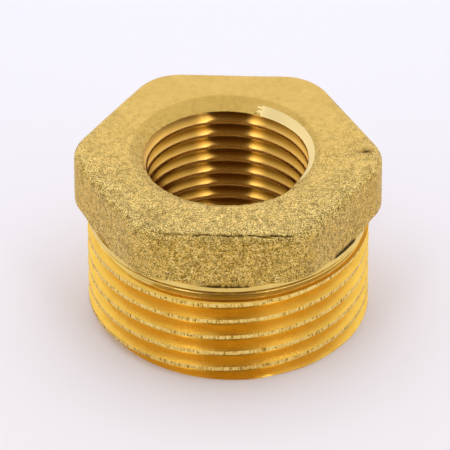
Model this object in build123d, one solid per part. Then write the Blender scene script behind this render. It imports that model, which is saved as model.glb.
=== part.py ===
from build123d import *
from build123d.topology import SkipClean
from math import atan, ceil, degrees, radians, tan
import os

os.makedirs("parts", exist_ok=True)

# Forged head: a hexagon with rounded corners, its flats just inside the diameter of the thread
flat_inset = 0.1245
corner_radius = 6.0
total_height = 21.0
head_height = 7.25
top_edge_radius = 0.9

# Parallel pipe thread, right-handed, cut with 55 degree flanks
male_diameter = 33.249
male_pitch = 25.4 / 11
male_land = 0.5
male_root_flat = 0.27
male_crest_height = 2.43
male_turns = 5.5
male_run_out = 0.35
run_out_climb = 1.5
flank_angle = 27.5

# Turned parts of the shank: underside of the head, collar, neck and lead-in
underside_rise = 0.65
underside_slope = 8.0
collar_height = 0.65
neck_length = 1.49
neck_depth = 0.5
lead_in = 0.2

# Bore, as wide as the crests of its thread, with a shallow forged dish and a turned countersink
female_bore = 18.95
mouth_center = (-0.35, 0.65)
dish_radius = 11.15
dish_slope = 21.0
countersink_radius = 11.05
countersink_slope = 25.7
outlet_chamfer = 1.2

# Sizes that follow from the ones above
across_flats = male_diameter - 2 * flat_inset
head_bottom = total_height - head_height
male_radius = male_diameter / 2
bore_radius = female_bore / 2
neck_radius = male_radius - neck_depth
neck_top = head_bottom - collar_height
underside_height = head_bottom + underside_rise
male_start = male_crest_height - 1.5 * male_pitch
clearance = 0.6
mouth_floor = bore_radius - 1.2
mouth_cones = [(dish_radius, dish_slope), (countersink_radius, countersink_slope)]


def split_circle(radius):
    """A disc whose rim is four arcs, so that a wall drawn from it is four faces."""
    arcs = [Edge.make_circle(radius, start_angle=90 * k, end_angle=90 * (k + 1)) for k in range(4)]
    return Face(Wire(arcs))


def thread_groove(path):
    """The groove of the thread carried along a helix, open past the surface of the shank."""
    half_width = (male_pitch - male_land) / 2
    root_radius = male_radius - (half_width - male_root_flat / 2) / tan(radians(flank_angle))
    open_width = half_width + clearance * tan(radians(flank_angle))
    with BuildSketch(Plane.XZ) as section:
        with BuildLine():
            Polyline(
                (root_radius, male_root_flat / 2),
                (male_radius + clearance, open_width),
                (male_radius + clearance, -open_width),
                (root_radius, -male_root_flat / 2),
                (root_radius, male_root_flat / 2),
            )
        make_face()
    return Solid.sweep(section.sketch.face(), path, is_frenet=True)


# The groove, one turn at a time, and its end, which climbs out to the surface
groove = []
for k in range(ceil(male_turns)):
    turn = Helix(male_pitch, male_pitch * min(1, male_turns - k), male_radius)
    groove.append(Pos(0, 0, male_start + k * male_pitch) * thread_groove(turn))
rise = male_run_out * male_pitch
climb = Helix(male_pitch, rise, male_radius, cone_angle=degrees(atan(run_out_climb / rise)))
groove_end = Pos(0, 0, male_start + male_turns * male_pitch) * Rot(0, 0, 360 * (male_turns % 1))
groove.append(groove_end * thread_groove(climb))

with SkipClean(), BuildPart() as hex_bushing:
    # Head, and the blank of the shank under it
    with BuildSketch(Plane.XY.offset(head_bottom)) as outline:
        RegularPolygon(across_flats / 2, 6, major_radius=False)
        fillet(outline.vertices(), corner_radius)
    extrude(amount=head_height, clean=False)
    fillet(hex_bushing.faces().sort_by(Axis.Z)[-1].edges(), top_edge_radius)
    extrude(split_circle(male_radius), amount=head_bottom, clean=False)

    # Underside of the head turned back at the corners, down to the collar
    with BuildSketch(Plane.XZ):
        with BuildLine():
            Polyline(
                (male_radius, head_bottom),
                (male_radius + underside_rise, underside_height),
                (across_flats, underside_height + across_flats / 2 * tan(radians(underside_slope))),
                (across_flats, head_bottom - clearance),
                (male_radius, head_bottom - clearance),
                (male_radius, head_bottom),
            )
        make_face()
    revolve(axis=Axis.Z, mode=Mode.SUBTRACT, clean=False)

    # Neck above the thread, with a lead-in at the other end
    with BuildSketch(Plane.XZ):
        with BuildLine():
            Polyline(
                (neck_radius, neck_top - neck_depth),
                (neck_radius, neck_top - neck_length),
                (male_radius + clearance, neck_top - neck_length),
                (male_radius + clearance, neck_top + clearance),
                (neck_radius, neck_top - neck_depth),
            )
        make_face()
        with BuildLine():
            Polyline(
                (male_radius - lead_in, 0),
                (male_radius, lead_in),
                (male_radius + clearance, lead_in),
                (male_radius + clearance, 0),
                (male_radius - lead_in, 0),
            )
        make_face()
    revolve(axis=Axis.Z, mode=Mode.SUBTRACT, clean=False)

    # Mouth of the bore
    for radius, slope in mouth_cones:
        depth = (radius - mouth_floor) * tan(radians(slope))
        with Locations((*mouth_center, total_height - depth)):
            add(Solid.make_cone(mouth_floor, radius, depth), mode=Mode.SUBTRACT, clean=False)

    # Bore and its outlet
    extrude(split_circle(bore_radius), amount=total_height, mode=Mode.SUBTRACT, clean=False)
    outlet = Solid.make_cone(bore_radius + outlet_chamfer, bore_radius, outlet_chamfer)
    add(outlet, mode=Mode.SUBTRACT, clean=False)

    # Thread
    for turn in groove:
        add(turn, mode=Mode.SUBTRACT, clean=False)

hex_bushing.part.label = "hex_bushing"
export_step(hex_bushing.part, "parts/hex_bushing.step")
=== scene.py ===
from math import ceil, cos, floor, pi, radians, sin, tan

import bmesh
import bpy
import numpy as np
from mathutils import Matrix, Vector, noise


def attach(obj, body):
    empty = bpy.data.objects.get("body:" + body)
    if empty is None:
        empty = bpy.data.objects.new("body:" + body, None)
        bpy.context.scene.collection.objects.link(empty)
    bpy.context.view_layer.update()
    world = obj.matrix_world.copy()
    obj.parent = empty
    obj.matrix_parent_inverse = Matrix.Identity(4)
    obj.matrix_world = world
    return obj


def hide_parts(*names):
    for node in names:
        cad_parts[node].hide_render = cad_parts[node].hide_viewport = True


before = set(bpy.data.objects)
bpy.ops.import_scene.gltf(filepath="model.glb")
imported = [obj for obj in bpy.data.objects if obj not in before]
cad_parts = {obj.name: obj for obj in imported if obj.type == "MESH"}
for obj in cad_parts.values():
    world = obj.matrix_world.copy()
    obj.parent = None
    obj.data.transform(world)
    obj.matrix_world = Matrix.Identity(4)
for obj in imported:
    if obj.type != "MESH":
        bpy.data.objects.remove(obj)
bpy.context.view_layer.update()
print("frame loaded")

mm = 0.001

# sizes in mm, angles in degrees; the skin of the bushing is one closed grid of rows round its axis
bushing = {
    "columns": 400,            # points in a row
    "seamAngle": 90.0,         # where the rows start
    "shankRadius": 16.6245,
    "leadIn": 0.2,
    "threadTop": 11.61,
    "grainSeed": 11,
}
columns = bushing["columns"]
angles = radians(bushing["seamAngle"]) + np.arange(columns + 1) * 2 * pi / columns
rng = np.random.default_rng(bushing["grainSeed"])


def noiseAt(x, y, z, size, shift=0.0):
    # smooth noise from 0 to 1 at points in mm, with blobs of a given size
    x, y, z = np.broadcast_arrays(x, y, z)
    spots = np.stack([x, y, z], axis=-1).reshape(-1, 3) / size + shift
    values = np.array([noise.noise(Vector(spot)) for spot in spots])
    return np.clip(0.5 + 0.6 * values.reshape(x.shape), 0, 1)


def stretch(fromAngle, toAngle, fade):
    # 1 on a stretch of the way round, fading to 0 at its two ends
    middle, half = (fromAngle + toAngle) / 2, (toAngle - fromAngle) / 2
    off = np.abs(np.mod(np.degrees(angles) - middle + 180, 360) - 180)
    return np.clip((half - off) / fade + 0.5, 0, 1)


flankAngle = radians(27.5)     # of both threads
rootShare = 0.1373             # radius of a groove's root over the pitch
paintedLightFade = 1.8                 # height over which the bore loses its painted light, a paler color


class Skin:
    # rows of points from the outlet up the bore, over the head and down the shank to the end face
    def __init__(self):
        self.points = []
        self.finishes = []
        self.gritAndGlint = []
        self.paintedShade = []
        self.paintedLight = []

    # paintedShade darkens a point's colour as painted shade, and paintedLight turns it pale as painted light
    def addRow(self, radius, height, finish, gritAndGlint=0.0, paintedShade=0.0, paintedLight=0.0):
        radius, height = np.broadcast_to(radius, angles.shape), np.broadcast_to(height, angles.shape)
        self.points.append(np.stack([radius * np.cos(angles), radius * np.sin(angles), height], axis=1))
        self.finishes.append([finish] * columns if isinstance(finish, str) else list(finish))
        for rows, value in ((self.gritAndGlint, gritAndGlint), (self.paintedShade, paintedShade), (self.paintedLight, paintedLight)):
            rows.append(np.array(np.broadcast_to(value, angles.shape)))
            rows[-1][-1] = rows[-1][0]
        self.points[-1][-1] = self.points[-1][0]

    def addThread(self, thread, low, high, radiusAt, downward=False):
        # rows that climb with the thread, held between two heights
        pitch, steps = thread["pitch"], threadSteps(thread)
        first = floor((np.min(low) - thread["start"]) / pitch - angles[-1] / (2 * pi))
        last = ceil((np.max(high) - thread["start"]) / pitch - angles[0] / (2 * pi))
        climb = pitch * angles / (2 * pi)
        turns = range(first, last + 1)
        rows = [thread["start"] + turn * pitch + step + climb for turn in turns for step, name in steps]
        names = [name for turn in turns for step, name in steps]
        heights = np.clip(np.array(rows), low, high)
        radii = radiusAt(angles[None, :], heights)
        radii = wearThread(thread, radii, heights, names, low, high)
        grid = np.stack([radii * np.cos(angles), radii * np.sin(angles), heights], axis=2)
        grid[:-len(steps), -1] = grid[len(steps):, 0]      # the last column is the first, one turn on
        grid[-len(steps):, -1] = grid[-1, 0]
        order = range(len(names) - 1, -1, -1) if downward else range(len(names))
        # how far up the flanks each row is, from 0 in the root to 1 at the crest
        rise = np.array([min(step, pitch - step) for step, name in steps]) * 2 / (pitch - thread["land"])
        # painted shade deep in the grooves and painted highlight on the crests
        shade = thread["rootShade"] * np.clip(1.4 - 1.25 * rise, 0, 1)
        crestLight = thread["crestHighlight"] * np.clip(2 * rise - 1.4, 0, 1)
        for row in order:
            turnStep = row % len(steps)
            self.points.append(grid[row])
            self.finishes.append([names[row].replace("Edge", "")] * columns)
            self.gritAndGlint.append(np.zeros(columns + 1))
            self.paintedShade.append(np.full(columns + 1, shade[turnStep]))
            lifted = np.clip(1 - (thread["paintedLightFrom"] - heights[row]) / paintedLightFade, 0, 1) ** 2
            self.paintedLight.append(np.maximum(lifted, crestLight[turnStep]))


outerThread = {
    "radius": 16.6245,
    "pitch": 25.4 / 11,
    "land": 0.5,
    "start": 2.43 - 1.5 * 25.4 / 11,    # height of the groove at angle 0
    "turns": 5.5,
    "runOut": 0.35,
    "climb": 1.5,
    "flankSteps": (0.1, 0.2, 0.281, 0.49, 0.7),
    "landSteps": (0.07, 0.25, 0.43),
    "finish": "thread",
    "tear": 0.035,                      # depth of the nicks in the crests
    "bevel": 0.03,                      # how far the upper edge of a crest is rubbed down
    "paintedLightFrom": 99.0,                   # above the whole part, so no row of it gets painted light
    "rootShade": 0.0,
    "crestHighlight": 0.0,
}

innerThread = {
    "radius": 9.475,
    "pitch": 25.4 / 14,
    "land": 0.745,                      # width of the rounded crest
    "start": 0.07 - 0.5 * 25.4 / 14,
    "crestRounding": 0.42,
    "flankSteps": (0.221,),
    "landSteps": (0.17, 0.372, 0.575),
    "finish": "bore",
    "tear": 0,
    "outlet": 1.2,
    "paintedLightFrom": 20.4,                   # height below which the bore's painted light fades and the bore gets a deeper color
    "closedAngles": (-30, 25),          # where the groove closes before it reaches the mouth
    "closedFade": 20,
    "closedFrom": 19.3,
    "closedRise": 0.4,
    # painted shade in the roots and painted highlight on the crests
    "rootShade": 1.0,
    "crestHighlight": 0.28,
}


def threadSteps(thread):
    # heights over the middle of a groove at which a turn has rows, with the finish of the strip there
    half = (thread["pitch"] - thread["land"]) / 2
    flank = [(0, thread["finish"])] + [(step, thread["finish"]) for step in thread["flankSteps"]]
    crest = "crest" if thread["tear"] else thread["finish"]
    land = [(half, crest)] + [(half + step, crest) for step in thread["landSteps"]]
    upper = [(thread["pitch"] - half, thread["finish"] + "Edge")]
    upper += [(thread["pitch"] - step, thread["finish"]) for step, name in reversed(flank[1:])]
    return flank + land + upper


def wearThread(thread, radii, heights, names, low, high):
    if not thread["tear"]:
        return radii
    free = (heights > low) & (heights < high)
    onCrest = np.array([name == "crest" for name in names])[:, None]
    onEdge = np.array([name.endswith("Edge") for name in names])[:, None]
    nick = np.minimum(np.abs(rng.normal(0, 1, radii.shape)), 2) * thread["tear"]
    return radii - (nick * onCrest + thread["bevel"] * onEdge) * free


def grooveDepth(distance, thread):
    # depth of a V groove with a rounded root, at a distance from its middle
    half = (thread["pitch"] - thread["land"]) / 2
    rounding = rootShare * thread["pitch"]
    flank = np.maximum(half - distance, 0) / tan(flankAngle)
    center = half / tan(flankAngle) - rounding / sin(flankAngle)
    root = center + np.sqrt(np.maximum(rounding ** 2 - distance ** 2, 0))
    return np.where(distance < rounding * cos(flankAngle), root, flank)


def outerRadius(angle, height):
    turn = np.mod(angle, 2 * pi) / (2 * pi)
    along = (height - outerThread["start"]) / outerThread["pitch"] - turn
    nearest = np.round(along)
    depth = grooveDepth(np.abs(along - nearest) * outerThread["pitch"], outerThread)
    past = nearest + turn - outerThread["turns"]
    lift = np.where(past > 0, past / outerThread["runOut"] * outerThread["climb"], 0)
    return outerThread["radius"] - np.maximum(depth - lift, 0)


def innerRadius(angle, height):
    # flanks between rounded roots and rounded crests
    along = (height - innerThread["start"]) / innerThread["pitch"] - angle / (2 * pi)
    fromRoot = np.abs(along - np.round(along)) * innerThread["pitch"]
    fromCrest = innerThread["pitch"] / 2 - fromRoot
    crest, root = innerThread["crestRounding"], rootShare * innerThread["pitch"]
    flankStart, flankEnd = crest * cos(flankAngle), innerThread["pitch"] / 2 - root * cos(flankAngle)
    crestEnd = crest * (1 - sin(flankAngle))
    flank = crestEnd + (fromCrest - flankStart) / tan(flankAngle)
    onCrest = crest - np.sqrt(np.maximum(crest ** 2 - fromCrest ** 2, 0))
    rootCenter = crestEnd + (flankEnd - flankStart) / tan(flankAngle) - root * sin(flankAngle)
    inRoot = rootCenter + np.sqrt(np.maximum(root ** 2 - fromRoot ** 2, 0))
    depth = np.where(fromCrest < flankStart, onCrest, np.where(fromCrest > flankEnd, inRoot, flank))
    # the groove is closed where its end would run out through the countersink
    fromAngle, toAngle = innerThread["closedAngles"]
    aside = np.abs(np.mod(np.degrees(angle) - (fromAngle + toAngle) / 2 + 180, 360) - 180)
    closed = np.clip(1 - (aside - (toAngle - fromAngle) / 2) / innerThread["closedFade"], 0, 1)
    closed = closed * np.clip((height - innerThread["closedFrom"]) / innerThread["closedRise"], 0, 1)
    depth = depth * (1 - closed)
    outlet = innerThread["radius"] + innerThread["outlet"] - height
    return np.maximum(innerThread["radius"] + depth, outlet)


head = {
    "flatRadius": 16.5,        # axis to a flat of the hexagon
    "cornerRadius": 6.0,
    "topHeight": 21.0,
    "bottomHeight": 13.75,
    "edgeRadius": 0.9,
    "undersideRise": 0.65,
    "undersideSlope": 8.0,
    "swell": 0.05,             # depth of the gentle hollows of the forging
    "pitted": 0.035,           # depth of the small pits along its edges
    # angle, distance from the axis, half length round the axis, half width, depth of each dent, which also
    # sets its painted shade
    "dents": [(3.8, 16.2, 0.5, 0.9, 0.16), (-122.1, 15.3, 1.1, 0.3, 0.14), (64.5, 12.8, 0.3, 0.3, 0.05),
              (38.0, 16.6, 1.3, 0.3, 0.09), (-149.0, 13.6, 0.4, 0.4, 0.05)],
    "flashLine": (-116.0, -62.0, 0.13),    # rough groove along the front edge, darkened with painted shade: from, to, depth
    # torn gaps under the flats, painted near black as shadow: from, to, how high the gap opens
    "tornGaps": [(-99.5, -79.0, 0.13), (-39.5, -24.0, 0.24), (-152.0, -143.5, 0.07)],
    "gapRise": 0.3,            # shares of a gap above and below the underside
    "gapDrop": 0.7,
    "gapInset": 0.03,
    "gapReach": 3,             # depth of a gap over its height, and the most it may be
    "gapDeepest": 0.45,
}

mouth = {
    "center": (-0.35, 0.65),
    "dishRadius": 11.15,
    "dishSlope": 21.0,
    "sinkRadius": 11.05,
    "sinkSlope": 25.7,
    "sinkFrom": -27.0,         # the turned countersink shows between these angles
    "sinkTo": 72.5,
    "sinkEdge": 10.64,         # where it leaves the dish, from the center of the mouth
    "softness": 0.1,           # how softly the forged dish meets the top
    "ragged": 0.16,            # depth of the teeth round the rim, outside the countersink
    "shade": 0.17,
    "rimFrom": 19.3,           # the rim is looked for from here to the top, in this many steps
    "rimSteps": 341,
    "overlap": 0.15,           # how far the dish is followed past its edge
    "rowGap": 0.05,            # least distance between the edges of its bands
    "inset": 0.01,
    "sinkRows": 7,
    "dishRows": 4,
}


def hexRadius(inset):
    # distance from the axis to a hexagon with rounded corners, one of them at angle 0
    flat = head["flatRadius"] - inset
    rounding = head["cornerRadius"] - inset
    offCorner = pi / 6 - np.abs(np.mod(angles, pi / 3) - pi / 6)
    offFlat = pi / 6 - offCorner
    toCenter = (flat - rounding) / cos(pi / 6)
    tangent = np.arctan2((flat - rounding) * tan(pi / 6), flat)
    arc = np.sqrt(np.maximum(rounding ** 2 - (toCenter * np.sin(offCorner)) ** 2, 0))
    arc = toCenter * np.cos(offCorner) + arc
    return np.where(offFlat <= tangent, flat / np.cos(offFlat), arc)


def topSurface(angle, radius):
    # height of the dish or countersink, and where it is the countersink
    away = np.hypot(radius * np.cos(angle) - mouth["center"][0], radius * np.sin(angle) - mouth["center"][1])
    dish = (away - mouth["dishRadius"]) * tan(radians(mouth["dishSlope"]))
    dish = (dish - np.sqrt(dish ** 2 + mouth["softness"] ** 2)) / 2
    sink = (away - mouth["sinkRadius"]) * tan(radians(mouth["sinkSlope"]))
    degrees = np.mod(np.degrees(angle) + 180, 360) - 180 + 1.5 * np.sin(radius * 11) + np.sin(radius * 29)
    turned = (degrees > mouth["sinkFrom"]) & (degrees < mouth["sinkTo"]) & (sink < dish)
    return head["topHeight"] + np.where(turned, sink, dish), turned


def undersideHeight(radius):
    out = np.maximum(radius - bushing["shankRadius"], 0)
    steep = np.minimum(out, head["undersideRise"])
    return head["bottomHeight"] + steep + (out - steep) * tan(radians(head["undersideSlope"]))


def addForged(skin, radius, height, tilt, edge, groove=0.0):
    # a row of the forging, sunk by its hollows, pits and dents, with painted shade in dents and grooves and
    # painted light on top; tilt is 0 on top and 90 on a side
    x, y = radius * np.cos(angles), radius * np.sin(angles)
    depth = head["swell"] * noiseAt(x, y, height, 4.0)
    depth = depth + head["pitted"] * edge * noiseAt(x, y, height, 0.6, 9.0)
    paintedShade = np.zeros(columns + 1)
    for angle, distance, length, width, sunk in head["dents"] if tilt < 60 else []:
        around = np.mod(np.degrees(angles) - angle + 180, 360) - 180
        near = np.exp(-(radians(1) * around * distance / length) ** 2 - ((radius - distance) / width) ** 2)
        rough = 0.6 + 0.8 * noiseAt(x, y, height, 0.4, 31.0)
        depth = depth + sunk * near * rough
        paintedShade = np.maximum(paintedShade, near * rough * sunk / 0.22)
    depth = depth + groove
    turn = radians(tilt)
    near = np.clip(0.62 - y / 26, 0.15, 1.0)               # painted glints and pits stronger on the near half and along the edges
    gritAndGlint = near * (0.95 + 0.45 * edge)
    # painted shade in the dents and in the rough groove
    paintedShade = np.clip(paintedShade + groove * 7, 0, 1)
    skin.addRow(radius - depth * sin(turn), height - depth * cos(turn), "forged", gritAndGlint, paintedShade, cos(turn))


skin = Skin()
fine = np.linspace(mouth["rimFrom"], head["topHeight"], mouth["rimSteps"])
wall = innerRadius(angles[:, None], fine[None, :])
above = fine[None, :] >= topSurface(angles[:, None], wall)[0]
rimHeight = fine[np.argmax(above, axis=1)]
rimRadius = innerRadius(angles, rimHeight)
ragged = mouth["ragged"] * (1 - stretch(mouth["sinkFrom"], mouth["sinkTo"], 2))
tooth = noiseAt(rimRadius * np.cos(angles), rimRadius * np.sin(angles), 0, 0.38, 5.0)
rimHeight = rimHeight - ragged * tooth ** 2
rimHeight[-1] = rimHeight[0]
rimRadius = innerRadius(angles, rimHeight)
skin.addRow(innerThread["radius"] + innerThread["outlet"], 0.0, "turned")
skin.addThread(innerThread, 0.0, rimHeight, innerRadius)
print("bore made")

# top of the head
edgeStart = hexRadius(head["edgeRadius"])
across = mouth["center"][0] * np.cos(angles) + mouth["center"][1] * np.sin(angles)
aside = -mouth["center"][0] * np.sin(angles) + mouth["center"][1] * np.cos(angles)
dishEdge = across + np.sqrt(mouth["dishRadius"] ** 2 - aside ** 2) + mouth["overlap"]
sinkEdge = across + np.sqrt(mouth["sinkEdge"] ** 2 - aside ** 2)
sinkEdge = np.clip(sinkEdge, rimRadius + mouth["rowGap"], dishEdge - mouth["rowGap"])
mouthRows = [(rimRadius, sinkEdge, share) for share in np.linspace(0, 1, mouth["sinkRows"] + 1)[1:]]
mouthRows += [(sinkEdge, dishEdge, share) for share in np.linspace(0, 1, mouth["dishRows"] + 1)[1:]]
for start, end, share in mouthRows:
    radius = start + (end - start) * share
    height, turned = topSurface(angles, radius - mouth["inset"])
    inSink = turned[:-1] & turned[1:] & (end is sinkEdge)
    x, y = radius * np.cos(angles), radius * np.sin(angles)
    swell = np.where(turned | (share < 0.2), 0, head["swell"] * noiseAt(x, y, height, 4.0))
    # painted glints and pits stronger on the near half, and painted light on the whole top
    gritAndGlint = np.clip(0.6 - y / 26, 0.15, 1.0)
    # painted shade in the forged dish
    shade = mouth["shade"] * (radius < dishEdge - 0.1)
    skin.addRow(radius, height - swell, np.where(inSink, "sink", "forged"), gritAndGlint, shade, 1.0)
for share in np.linspace(0, 1, 12)[1:]:
    radius = dishEdge + (edgeStart - dishEdge) * share
    addForged(skin, radius, topSurface(angles, radius)[0], 0, share ** 4)

# its rounded edge, with the rough line along the front, darkened with painted shade
fromAngle, toAngle, depth = head["flashLine"]
frontX = head["flatRadius"] * np.cos(angles)
for tilt in np.linspace(0, 90, 9)[1:]:
    turn = radians(tilt)
    radius = hexRadius(head["edgeRadius"] * (1 - sin(turn)))
    wander = noiseAt(frontX, 0, 0, 1.3, 3.0)               # the line wanders between two rows
    onLine = stretch(fromAngle, toAngle, 6) * ((20 < tilt < 30) * wander + (30 < tilt < 40) * (1 - wander))
    groove = depth * onLine * np.clip(1.3 * noiseAt(frontX, 0, tilt, 0.5, 6.0) + 0.5, 0, 1.3)
    height = head["topHeight"] - head["edgeRadius"] * (1 - cos(turn))
    addForged(skin, radius, height, tilt, 1 - tilt / 110, groove=groove)

# sides, torn open here and there where they end on the turned shoulder
sideRadius = hexRadius(0)
sideBottom = undersideHeight(sideRadius)
sideTop = head["topHeight"] - head["edgeRadius"]
gap = np.zeros(columns + 1)
for fromAngle, toAngle, opening in head["tornGaps"]:
    torn = np.clip(1.8 * noiseAt(sideRadius * angles, 0, 0, 0.4, 1.0) - 0.15, 0, 1)
    torn = stretch(fromAngle, toAngle, 2.5) * torn
    gap = np.maximum(gap, opening * torn)
gap[-1] = gap[0]
gapTop = sideBottom + head["gapRise"] * gap
gapBottom = sideBottom - head["gapDrop"] * gap
for share in np.linspace(0, 1, 12)[1:-1]:
    addForged(skin, sideRadius, sideTop + (gapTop - sideTop) * share, 90, 0.3 * (share > 0.9))
# painted shade in the torn gaps, near black where they are deep
skin.addRow(sideRadius - head["gapInset"], gapTop, "forged", 0.8, np.clip(gap * 6, 0, 1))
inside = sideRadius - head["gapInset"] - np.minimum(head["gapReach"] * gap, head["gapDeepest"])
skin.addRow(inside, gapTop, "forged", 0.8, np.clip(gap * 12, 0, 1))
skin.addRow(inside, gapBottom, "forged", 0.8, np.clip(gap * 12, 0, 1))

# turned neck between the head and the thread
neck = {
    # height and radius of its rings, from the top down
    "rings": [
        (13.75, 16.59), (13.72, 16.6245), (13.4, 16.6245), (13.12, 16.6245), (13.02, 16.5), (12.86, 15.98),
        (12.7, 15.96), (12.62, 16.36), (12.52, 16.44), (12.42, 16.3), (12.3, 15.95), (12.06, 15.9),
        (11.96, 16.1), (11.88, 16.0), (11.8, 16.2), (11.73, 16.08), (11.66, 16.22), (11.61, 16.16),
    ],
    "chatter": 0.05,           # depth of the marks the cutter left in the rings below the collar
    "chatterWithin": 16.5,
    "dropAbove": 13.5,         # the collar follows the torn gaps above this height
    "shade": 0.55,             # painted shade in the deep rings
    "shadeWithin": 16.05,
}
for share in np.linspace(0, 1, 5)[1:]:
    radius = inside + (neck["rings"][0][1] - inside) * share
    skin.addRow(radius, undersideHeight(radius) - head["gapDrop"] * gap, "turned")
print("head made")
for height, radius in neck["rings"][1:]:
    chatter = neck["chatter"] * noiseAt(radius * angles * 1.5, height * 2, 0, 1.2, 7.0)
    chatter = chatter * (radius < neck["chatterWithin"])
    drop = head["gapDrop"] * gap * (height > neck["dropAbove"])
    paintedShade = neck["shade"] * (radius < neck["shadeWithin"])
    skin.addRow(np.minimum(radius - chatter, outerRadius(angles, height)), height - drop, "neck", paintedShade=paintedShade)

# outside thread, its lead-in with a ragged lip, and the end face
skin.addThread(outerThread, bushing["leadIn"], bushing["threadTop"], outerRadius, downward=True)
endFace = {
    "lipDepth": 0.07,
    # breaks in the lip: from, to, depth, size of their teeth, and a shift of the noise
    "lipBreaks": [(-109, -97, 0.24, 0.5, 8.0), (-73, -58, 0.14, 0.6, 4.0)],
}
rimPlace = bushing["shankRadius"] * angles
lip = endFace["lipDepth"] * noiseAt(rimPlace, 0, 0, 0.5, 2.0)
for fromAngle, toAngle, depth, tooth, shift in endFace["lipBreaks"]:
    lip += depth * stretch(fromAngle, toAngle, 2) * noiseAt(rimPlace, 0, 0, tooth, shift)
lip[-1] = lip[0]
for height in (0.1, 0.0):
    radius = bushing["shankRadius"] - bushing["leadIn"] + height - lip
    skin.addRow(np.minimum(outerRadius(angles, height), radius), height, "thread")
outerBottom = np.minimum(outerRadius(angles, 0.0), radius)
outerBottom[-1] = outerBottom[0]
innerBottom = innerThread["radius"] + innerThread["outlet"]
for share in np.linspace(0, 1, 5)[1:]:
    skin.addRow(outerBottom + (innerBottom - outerBottom) * share, 0.0, "turned")
print("shank made")

finishNames = ["forged", "sink", "turned", "bore", "thread", "crest", "neck"]


def buildMesh(name, skin):
    # faces between neighbouring rows; points that coincide become one, and flat faces are left out
    flat = np.round(np.array(skin.points).reshape(-1, 3), 7)
    unique, source, index = np.unique(flat, axis=0, return_index=True, return_inverse=True)
    index = index.reshape(len(skin.points), columns + 1)
    faces, slots = [], []
    for row in range(len(skin.points) - 1):
        below, over = index[row], index[row + 1]
        for column in range(columns):
            corners = [below[column], over[column], over[column + 1], below[column + 1]]
            kept = [c for n, c in enumerate(corners) if c != corners[n - 1]]
            if len(kept) > 2 and len(set(kept)) == len(kept):
                faces.append(kept)
                slots.append(finishNames.index(skin.finishes[row + 1][column]))
    mesh = bpy.data.meshes.new(name)
    mesh.from_pydata((unique * mm).tolist(), [], faces)
    mesh.polygons.foreach_set("material_index", slots)
    mesh.polygons.foreach_set("use_smooth", [True] * len(faces))
    for label, rows in (("gritAndGlint", skin.gritAndGlint), ("paintedShade", skin.paintedShade), ("paintedLight", skin.paintedLight)):
        values = np.array(rows).reshape(-1)[source]
        mesh.attributes.new(label, "FLOAT", "POINT").data.foreach_set("value", values)
    mesh.update()
    tidyUp = bmesh.new()
    tidyUp.from_mesh(mesh)
    bmesh.ops.recalc_face_normals(tidyUp, faces=tidyUp.faces)
    tidyUp.to_mesh(mesh)
    openEdges = sum(1 for edge in tidyUp.edges if len(edge.link_faces) != 2)
    print("open edges:", openEdges, "volume in mm3:", round(tidyUp.calc_volume() / mm ** 3, 1))
    tidyUp.free()
    return mesh


mesh = buildMesh("bushingSkin", skin)
piece = bpy.data.objects.new("bushingBody", mesh)
bpy.context.scene.collection.objects.link(piece)
mesh.set_sharp_from_angle(angle=radians(38))
print("mesh made:", sum(len(face.vertices) - 2 for face in mesh.polygons), "triangles")


def newMaterial(name):
    material = bpy.data.materials.new(name)
    material.use_nodes = True
    nodes = material.node_tree.nodes
    return material, nodes, material.node_tree.links, nodes["Principled BSDF"]


def addNoise(nodes, links, source, scale, detail=2.0, roughness=0.6, stretched=None):
    texture = nodes.new("ShaderNodeTexNoise")
    texture.inputs["Scale"].default_value = scale
    texture.inputs["Detail"].default_value = detail
    texture.inputs["Roughness"].default_value = roughness
    if stretched:
        mapping = nodes.new("ShaderNodeMapping")
        mapping.inputs["Scale"].default_value = stretched
        links.new(source, mapping.inputs["Vector"])
        source = mapping.outputs["Vector"]
    links.new(source, texture.inputs["Vector"])
    return texture.outputs["Fac"]


def addRamp(nodes, links, source, stops):
    ramp = nodes.new("ShaderNodeValToRGB")
    elements = ramp.color_ramp.elements
    while len(elements) < len(stops):
        elements.new(0.5)
    for element, (position, value) in zip(elements, stops):
        element.position = position
        element.color = (*value, 1) if isinstance(value, tuple) else (value, value, value, 1)
    links.new(source, ramp.inputs["Fac"])
    return ramp.outputs["Color"]


def addMath(nodes, links, operation, *values):
    node = nodes.new("ShaderNodeMath")
    node.operation = operation
    for socket, value in zip(node.inputs, values):
        if isinstance(value, bpy.types.NodeSocket):
            links.new(value, socket)
        else:
            socket.default_value = value
    return node.outputs["Value"]


def addMix(nodes, links, blend, amount, first, second):
    mix = nodes.new("ShaderNodeMixRGB")
    mix.blend_type = blend
    for value, name in ((amount, "Fac"), (first, "Color1"), (second, "Color2")):
        if isinstance(value, bpy.types.NodeSocket):
            links.new(value, mix.inputs[name])
        else:
            mix.inputs[name].default_value = value if name == "Fac" else (*value, 1)
    return mix.outputs["Color"]


def addBump(nodes, links, height, strength, distance, normal=None):
    bump = nodes.new("ShaderNodeBump")
    bump.inputs["Strength"].default_value = strength
    bump.inputs["Distance"].default_value = distance
    links.new(height, bump.inputs["Height"])
    if normal is not None:
        links.new(normal, bump.inputs["Normal"])
    return bump.outputs["Normal"]


def addAttribute(nodes, name):
    attribute = nodes.new("ShaderNodeAttribute")
    attribute.attribute_name = name
    return attribute.outputs["Fac"]


forgedFinish = {
    # pit and glint paint the grain's shade and sparkle; topLitMiddle is the middle colour painted lighter on
    # top; tearShadow is painted shadow
    "pit": (0.13, 0.075, 0.012),
    "middle": (0.73, 0.48, 0.09),
    "topLitMiddle": (0.73, 0.505, 0.142),
    "glint": (1.0, 0.84, 0.38),
    "tearShadow": (0.035, 0.02, 0.006),
    "grain": 6400.0,           # blobs per metre
    "contrast": 1.9,
    "grainDepth": 0.00007,
    "scaleDepth": 0.0001,
}


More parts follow.
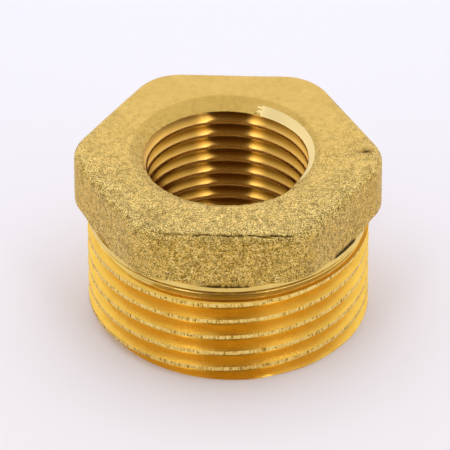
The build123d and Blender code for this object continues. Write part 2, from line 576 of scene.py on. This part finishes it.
def addPaintedShade(nodes, links, paintedShade, color):
    # painted shade: the colour turns darker and browner as the mask grows
    stops = [(0.0, (1.0, 1.0, 1.0)), (0.5, (0.62, 0.58, 0.48)), (1.0, (0.4, 0.34, 0.25))]
    shade = addRamp(nodes, links, paintedShade, stops)
    return addMix(nodes, links, "MULTIPLY", 1.0, color, shade)


def forgedBrass():
    # sand-blasted forging: fine grain with painted glints and pits, stronger where it is gritty, paler on
    # top as painted light, darker as painted shade in dents and grooves, and nearly black as painted shadow
    # in a tear
    material, nodes, links, shader = newMaterial("forgedBrass")
    place = nodes.new("ShaderNodeTexCoord").outputs["Object"]
    gritAndGlint, paintedShade, paintedLight = (addAttribute(nodes, label) for label in ("gritAndGlint", "paintedShade", "paintedLight"))
    grain = addNoise(nodes, links, place, forgedFinish["grain"], 2.0, 0.75)
    scale = addNoise(nodes, links, place, 1500.0)
    broad = addNoise(nodes, links, place, 380.0, 3.0)
    centered = addMath(nodes, links, "SUBTRACT", grain, 0.5)
    gain = addMath(nodes, links, "MULTIPLY", gritAndGlint, forgedFinish["contrast"])
    strong = addMath(nodes, links, "MULTIPLY_ADD", centered, gain, 0.5)
    color = addMix(nodes, links, "MIX", paintedLight, forgedFinish["middle"], forgedFinish["topLitMiddle"])
    pits = addRamp(nodes, links, strong, [(0.27, 1.0), (0.44, 0.0)])
    color = addMix(nodes, links, "MIX", pits, color, forgedFinish["pit"])
    glints = addRamp(nodes, links, strong, [(0.56, 0.0), (0.74, 1.0)])
    color = addMix(nodes, links, "MIX", glints, color, forgedFinish["glint"])
    stain = addRamp(nodes, links, broad, [(0.35, (0.93, 0.91, 0.84)), (0.65, (1.0, 1.0, 1.0))])
    color = addMix(nodes, links, "MULTIPLY", 1.0, color, stain)
    stops = [(0.36, (0.72, 0.69, 0.60)), (0.5, (1.0, 1.0, 1.0)), (0.64, (1.16, 1.14, 1.08))]
    mottle = addRamp(nodes, links, scale, stops)
    color = addMix(nodes, links, "MULTIPLY", gritAndGlint, color, mottle)
    color = addPaintedShade(nodes, links, paintedShade, color)
    # painted shadow, nearly black, where the painted shade is strong
    torn = addMath(nodes, links, "MULTIPLY_ADD", grain, 0.9, addMath(nodes, links, "SUBTRACT", paintedShade, 0.75))
    torn = addRamp(nodes, links, torn, [(0.2, 0.0), (0.4, 1.0)])
    links.new(addMix(nodes, links, "MIX", torn, color, forgedFinish["tearShadow"]), shader.inputs["Base Color"])
    shader.inputs["Metallic"].default_value = 1.0
    links.new(addRamp(nodes, links, strong, [(0.3, 0.62), (0.7, 0.36)]), shader.inputs["Roughness"])
    bumps = addBump(nodes, links, scale, 0.35, forgedFinish["scaleDepth"])
    links.new(addBump(nodes, links, strong, 0.8, forgedFinish["grainDepth"], bumps), shader.inputs["Normal"])
    return material


# painted light: the pale brass of the countersink, also mixed into the turned finishes where they are
# painted light
paintedLitBrass = (0.93, 0.74, 0.34)
spread = 0.85                  # how much further highlights spread across the rings than along them
# one brass, painted paler for the countersink and darker and redder for the bore, as painted light and shade
turnedFinishes = {
    # color, roughness, rings per metre, their depth, strength of the upright streaks
    "sink": (paintedLitBrass, 0.34, 3000.0, 0.000006, 0.0),
    "turned": ((0.90, 0.62, 0.16), 0.32, 5000.0, 0.00001, 0.0),
    "bore": ((0.85, 0.455, 0.055), 0.22, 4000.0, 0.000006, 0.0),
    "thread": ((0.90, 0.57, 0.09), 0.28, 4500.0, 0.00001, 0.8),
    "neck": ((0.93, 0.69, 0.21), 0.3, 6000.0, 0.00003, 0.7),
}


def turnedBrass(name):
    # fine rings round the axis, so that highlights spread across the rings; pale brass is mixed in as
    # painted light and a darker brown as painted shade
    color, roughness, rings, depth, streaks = turnedFinishes[name]
    material, nodes, links, shader = newMaterial(name + "Brass")
    place = nodes.new("ShaderNodeTexCoord").outputs["Object"]
    lines = addNoise(nodes, links, place, rings, stretched=(0.04, 0.04, 1.0))
    broad = addNoise(nodes, links, place, 600.0, stretched=(1.0, 1.0, 2.0))
    tone = addRamp(nodes, links, lines, [(0.3, tuple(0.92 * part for part in color)), (0.7, color)])
    stain = addRamp(nodes, links, broad, [(0.35, (0.96, 0.92, 0.82)), (0.6, (1.0, 1.0, 1.0))])
    tone = addMix(nodes, links, "MULTIPLY", 1.0, tone, stain)
    tone = addMix(nodes, links, "MIX", addAttribute(nodes, "paintedLight"), tone, paintedLitBrass)
    links.new(addPaintedShade(nodes, links, addAttribute(nodes, "paintedShade"), tone), shader.inputs["Base Color"])
    shader.inputs["Metallic"].default_value = 1.0
    rough = addRamp(nodes, links, lines, [(0.3, roughness * 1.15), (0.7, roughness * 0.9)])
    links.new(rough, shader.inputs["Roughness"])
    shader.inputs["Anisotropic"].default_value = spread
    shader.inputs["Anisotropic Rotation"].default_value = 0.25
    around = nodes.new("ShaderNodeTangent")
    around.direction_type = "RADIAL"
    around.axis = "Z"
    links.new(around.outputs["Tangent"], shader.inputs["Tangent"])
    normal = addBump(nodes, links, lines, 0.5, depth)
    if streaks:
        scratches = addNoise(nodes, links, place, 5200.0, 2.0, 0.7, (1.0, 1.0, 0.12))
        normal = addBump(nodes, links, scratches, streaks, 0.00003, normal)
    links.new(normal, shader.inputs["Normal"])
    return material


crestFinish = {
    # nick is painted shade in the nicks, and bright is a painted highlight on the torn metal
    "nick": (0.26, 0.14, 0.022),
    "middle": (0.82, 0.55, 0.12),
    "bright": (0.97, 0.75, 0.26),
    "nicks": 4000.0,           # per metre
    "nickHeight": 0.3,         # below 1 the nicks are taller than wide
    "nickDepth": 0.0001,
    "roughness": 0.4,
}


def tornBrass():
    # crests of the outside thread, torn by the die: pale metal with upright nicks painted dark as shade and
    # bright flecks painted as highlight
    material, nodes, links, shader = newMaterial("crestBrass")
    place = nodes.new("ShaderNodeTexCoord").outputs["Object"]
    upright = (1.0, 1.0, crestFinish["nickHeight"])
    nicks = addNoise(nodes, links, place, crestFinish["nicks"], 2.0, 0.65, upright)
    stops = [(0.34, crestFinish["nick"]), (0.44, crestFinish["middle"]), (0.6, crestFinish["bright"])]
    links.new(addRamp(nodes, links, nicks, stops), shader.inputs["Base Color"])
    shader.inputs["Metallic"].default_value = 1.0
    shader.inputs["Roughness"].default_value = crestFinish["roughness"]
    links.new(addBump(nodes, links, nicks, 0.55, crestFinish["nickDepth"]), shader.inputs["Normal"])
    return material


materials = {name: turnedBrass(name) for name in turnedFinishes}
materials["forged"] = forgedBrass()
materials["crest"] = tornBrass()
for name in finishNames:
    mesh.materials.append(materials[name])
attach(piece, "root")
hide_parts("hex_bushing")
print("finishes made")

studio = {
    "headTurn": 2.36,          # degrees that the hexagon is turned from facing the camera
    "floorNearShaded": (0.925, 0.89, 0.92),
    "floorFar": (0.94, 0.925, 1.0),
    "floorGlow": 0.5,          # share of the floor's own light, for the camera and reflections
    "floorReach": 3.0,         # metres
    "clearSlope": 70.0,        # the glow grows by this per metre from the axis, from this start
    "clearStart": -1.1,
    # a bright tent with a dark gap over the camera, both on a sphere of radius 1
    "gapWidth": 0.13,          # half the gap's width at the zenith
    "gapSpread": 0.36,         # how much it widens forward
    "gapLight": (0.17, 0.125, 0.08),
    "tent": [(0.05, 2.6), (0.13, 2.3), (0.28, 0.8), (0.6, 0.92), (1.0, 1.1)],   # way past the gap, light
    "rearLight": 1.2,
}
turn = Matrix.Rotation(radians(studio["headTurn"]), 4, "Z")
backward, sideways = turn @ Vector((0, 1, 0)), turn @ Vector((1, 0, 0))


def addAlong(nodes, links, source, axis):
    dot = nodes.new("ShaderNodeVectorMath")
    dot.operation = "DOT_PRODUCT"
    dot.inputs[1].default_value = axis
    links.new(source, dot.inputs[0])
    return dot.outputs["Value"]


def addStep(nodes, links, value, low, high):
    step = nodes.new("ShaderNodeMapRange")
    step.interpolation_type = "SMOOTHSTEP"
    step.inputs["From Min"].default_value = low
    step.inputs["From Max"].default_value = high
    links.new(value, step.inputs["Value"])
    return step.outputs["Result"]


def addFloor():
    reach = studio["floorReach"]
    mesh = bpy.data.meshes.new("studioFloor")
    corners = [(-reach, -reach, 0), (reach, -reach, 0), (reach, reach, 0), (-reach, reach, 0)]
    mesh.from_pydata(corners, [], [(0, 1, 2, 3)])
    plane = bpy.data.objects.new("studioFloor", mesh)
    bpy.context.scene.collection.objects.link(plane)
    plane.location.z = -0.00002
    material, nodes, links, shader = newMaterial("paleFloor")
    place = nodes.new("ShaderNodeTexCoord").outputs["Object"]
    # painted shade: the floor is darker and warmer towards the camera
    fade = addStep(nodes, links, addAlong(nodes, links, place, backward), -0.05, 0.08)
    color = addRamp(nodes, links, fade, [(0.0, studio["floorNearShaded"]), (1.0, studio["floorFar"])])
    links.new(color, shader.inputs["Base Color"])
    shader.inputs["Roughness"].default_value = 0.9
    light = nodes.new("ShaderNodeEmission")
    links.new(color, light.inputs["Color"])
    path = nodes.new("ShaderNodeLightPath").outputs
    seen = addMath(nodes, links, "MAXIMUM", path["Is Camera Ray"], path["Is Glossy Ray"])
    # no glow under the part and close round it
    away = nodes.new("ShaderNodeVectorMath")
    away.operation = "LENGTH"
    links.new(place, away.inputs[0])
    slope, start = studio["clearSlope"], studio["clearStart"]
    clear = addMath(nodes, links, "MULTIPLY_ADD", away.outputs["Value"], slope, start)
    clear = addMath(nodes, links, "MINIMUM", addMath(nodes, links, "MAXIMUM", clear, 0.0), 1.0)
    share = addMath(nodes, links, "MULTIPLY", seen, studio["floorGlow"])
    share = addMath(nodes, links, "MULTIPLY", share, clear)
    mix = nodes.new("ShaderNodeMixShader")
    links.new(share, mix.inputs["Fac"])
    links.new(shader.outputs["BSDF"], mix.inputs[1])
    links.new(light.outputs["Emission"], mix.inputs[2])
    links.new(mix.outputs["Shader"], nodes["Material Output"].inputs["Surface"])
    mesh.materials.append(material)


def addWorld():
    world = bpy.data.worlds.new("studioWorld")
    bpy.context.scene.world = world
    world.use_nodes = True
    nodes, links = world.node_tree.nodes, world.node_tree.links
    direction = nodes.new("ShaderNodeTexCoord").outputs["Generated"]
    back = addAlong(nodes, links, direction, backward)
    side = addMath(nodes, links, "ABSOLUTE", addAlong(nodes, links, direction, sideways))
    forward = addMath(nodes, links, "MAXIMUM", addMath(nodes, links, "MULTIPLY", back, -1.0), 0.0)
    gap = addMath(nodes, links, "MULTIPLY_ADD", forward, studio["gapSpread"], studio["gapWidth"])
    past = addMath(nodes, links, "SUBTRACT", side, gap)
    stops = [(0.0, studio["gapLight"])]
    stops += [(place, (0.96 * light, 0.96 * light, light)) for place, light in studio["tent"]]
    tent = addRamp(nodes, links, past, stops)
    rear = [0.96 * studio["rearLight"], 0.96 * studio["rearLight"], studio["rearLight"]]
    light = addMix(nodes, links, "MIX", addStep(nodes, links, back, 0.04, 0.3), tent, rear)
    links.new(light, nodes["Background"].inputs["Color"])


addFloor()
addWorld()
print("studio made")

viewpoint = {
    "elevation": 36.38,
    "distance": 803.2,
    "lens": 543.77,
    "target": (-0.376, 0.0, 10.548),
    "roll": -0.17,
}


def addCamera():
    camera = bpy.data.objects.new("studioCamera", bpy.data.cameras.new("studioCamera"))
    bpy.context.scene.collection.objects.link(camera)
    camera.data.sensor_width = 36.0
    camera.data.lens = viewpoint["lens"]
    camera.data.clip_start = 0.05
    camera.data.clip_end = 20.0
    rise = radians(viewpoint["elevation"])
    back = Vector((0, -cos(rise), sin(rise)))
    up = Vector((0, sin(rise), cos(rise)))
    spot = (Vector(viewpoint["target"]) + back * viewpoint["distance"]) * mm
    axes = Matrix((Vector((1, 0, 0)), up, back)).transposed().to_4x4()
    roll = Matrix.Rotation(radians(viewpoint["roll"]), 4, "Z")
    camera.matrix_world = turn @ Matrix.Translation(spot) @ axes @ roll
    bpy.context.scene.camera = camera
    bpy.context.scene.view_settings.view_transform = "Standard"


addCamera()
print("camera made")
